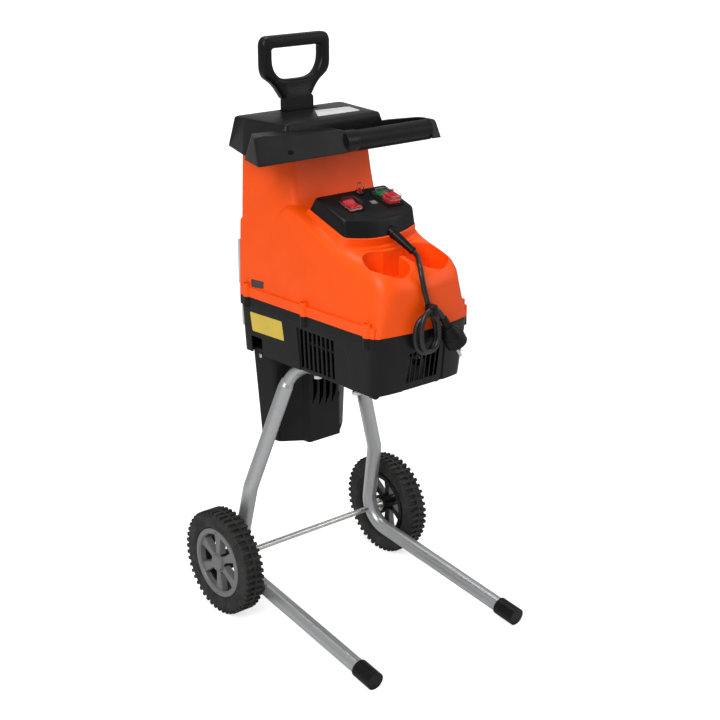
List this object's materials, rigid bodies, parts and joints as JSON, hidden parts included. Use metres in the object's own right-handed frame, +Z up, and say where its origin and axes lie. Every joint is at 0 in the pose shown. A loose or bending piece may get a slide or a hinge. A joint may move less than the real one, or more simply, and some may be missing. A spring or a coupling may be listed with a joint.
{
  "type": "electric garden shredder",
  "caption": "Electric garden shredder on a wheeled tube stand, with a plunger-fed hopper, carrying grip, tilted control box, folded mains lead and a discharge chute at the back.",
  "frame": {"origin": "on the ground under the middle of the machine: halfway between the tyres' outer faces, and halfway between the front of the foot caps and the back of the tyres", "axes": "+X to the right as seen by a person facing the switches, +Y towards the back where the chute is, +Z up"},
  "size_m": [0.3964, 0.4531, 0.948],
  "materials": {
    "orange_shell": "smooth satin moulded plastic",
    "black_shell": "finely textured moulded plastic",
    "dark_plastic": "plain moulded plastic",
    "lead_rubber": "smooth rubber sheath",
    "red_plastic": "smooth moulded plastic",
    "green_plastic": "smooth moulded plastic",
    "clear_cover": "clear soft plastic",
    "stand_paint": "silver powder coat on steel tube",
    "zinc": "zinc-plated",
    "rim_plastic": "dark grey moulded plastic",
    "tyre": "solid moulded tread",
    "grey_plastic": "light grey moulded plastic",
    "machine_steel": "machined",
    "blade_steel": "ground",
    "belt_rubber": "belt rubber"
  },
  "bodies": {
    "body": {"upper_housing": "orange_shell", "lower_housing": "black_shell", "hopper_collar": "black_shell", "carry_grip": "dark_plastic", "feed_funnel": "dark_plastic", "control_box": "black_shell", "switch_panel": "dark_plastic", "rocker_cover": "clear_cover", "start_stop_cover": "clear_cover", "reset_cap": "clear_cover", "strain_relief": "dark_plastic", "mains_cord": "lead_rubber", "cord_hank": "lead_rubber", "cord_tie": "dark_plastic", "plug": "dark_plastic", "plug_pins": "zinc", "left_leg": "stand_paint", "right_leg": "stand_paint", "left_rail": "stand_paint", "right_rail": "stand_paint", "foot_caps": "dark_plastic", "rail_caps": "dark_plastic", "rail_bolts": "zinc", "rail_nuts": "zinc", "axle": "zinc", "axle_washers": "zinc", "discharge_chute": "black_shell", "chute_screws": "zinc", "rear_cover": "grey_plastic", "rear_cover_screws": "zinc", "seam_screws": "zinc", "bearing_plate": "machine_steel", "motor": "machine_steel", "counter_blade": "blade_steel", "drive_belt": "belt_rubber", "handle_screws": "zinc"},
    "left_wheel": {"left_rim": "rim_plastic", "left_tyre": "tyre", "left_hub_cap": "rim_plastic"},
    "right_wheel": {"right_rim": "rim_plastic", "right_tyre": "tyre", "right_hub_cap": "rim_plastic"},
    "plunger": {"plunger": "black_shell"},
    "rocker": {"rocker_switch": "red_plastic"},
    "start_key": {"start_button": "green_plastic"},
    "stop_key": {"stop_button": "red_plastic"},
    "reset_key": {"reset_button": "red_plastic"},
    "cutter": {"spindle": "machine_steel", "cutter_disc": "machine_steel", "cutter_blades": "blade_steel", "blade_screws": "machine_steel"},
    "rotor": {"motor_rotor": "machine_steel"}
  },
  "joints": [
    {"name": "left_wheel_spin", "type": "hinge", "parent": "body", "child": "left_wheel", "pos_m": [-0.181, 0.13656, 0.09], "axis": [1, 0, 0], "continuous": true},
    {"name": "right_wheel_spin", "type": "hinge", "parent": "body", "child": "right_wheel", "pos_m": [0.181, 0.13656, 0.09], "axis": [1, 0, 0], "continuous": true},
    {"name": "plunger_slide", "type": "slide", "parent": "body", "child": "plunger", "axis": [0, 0, 1], "range_m": [0, 0.2]},
    {"name": "rocker_tilt", "type": "hinge", "parent": "body", "child": "rocker", "pos_m": [-0.0305, -0.01842, 0.70577], "axis": [1, 0, 0], "range_deg": [-8, 8]},
    {"name": "start_press", "type": "slide", "parent": "body", "child": "start_key", "axis": [0, -0.3256, 0.9455], "range_m": [-0.0025, 0], "stiffness_N_per_m": 300},
    {"name": "stop_press", "type": "slide", "parent": "body", "child": "stop_key", "axis": [0, -0.3256, 0.9455], "range_m": [-0.0025, 0], "stiffness_N_per_m": 300},
    {"name": "reset_press", "type": "slide", "parent": "body", "child": "reset_key", "axis": [0, -0.3256, 0.9455], "range_m": [-0.0025, 0], "stiffness_N_per_m": 300},
    {"name": "cutter_spin", "type": "hinge", "parent": "body", "child": "cutter", "pos_m": [0, 0.09356, 0.49], "axis": [0, 0, 1], "continuous": true},
    {"name": "rotor_spin", "type": "hinge", "parent": "body", "child": "rotor", "pos_m": [0, -0.06844, 0.49], "axis": [0, 0, 1], "continuous": true}
  ],
  "couplings": [
    {"joint": "rotor_spin", "follows": "cutter_spin", "ratio": 2}
  ]
}
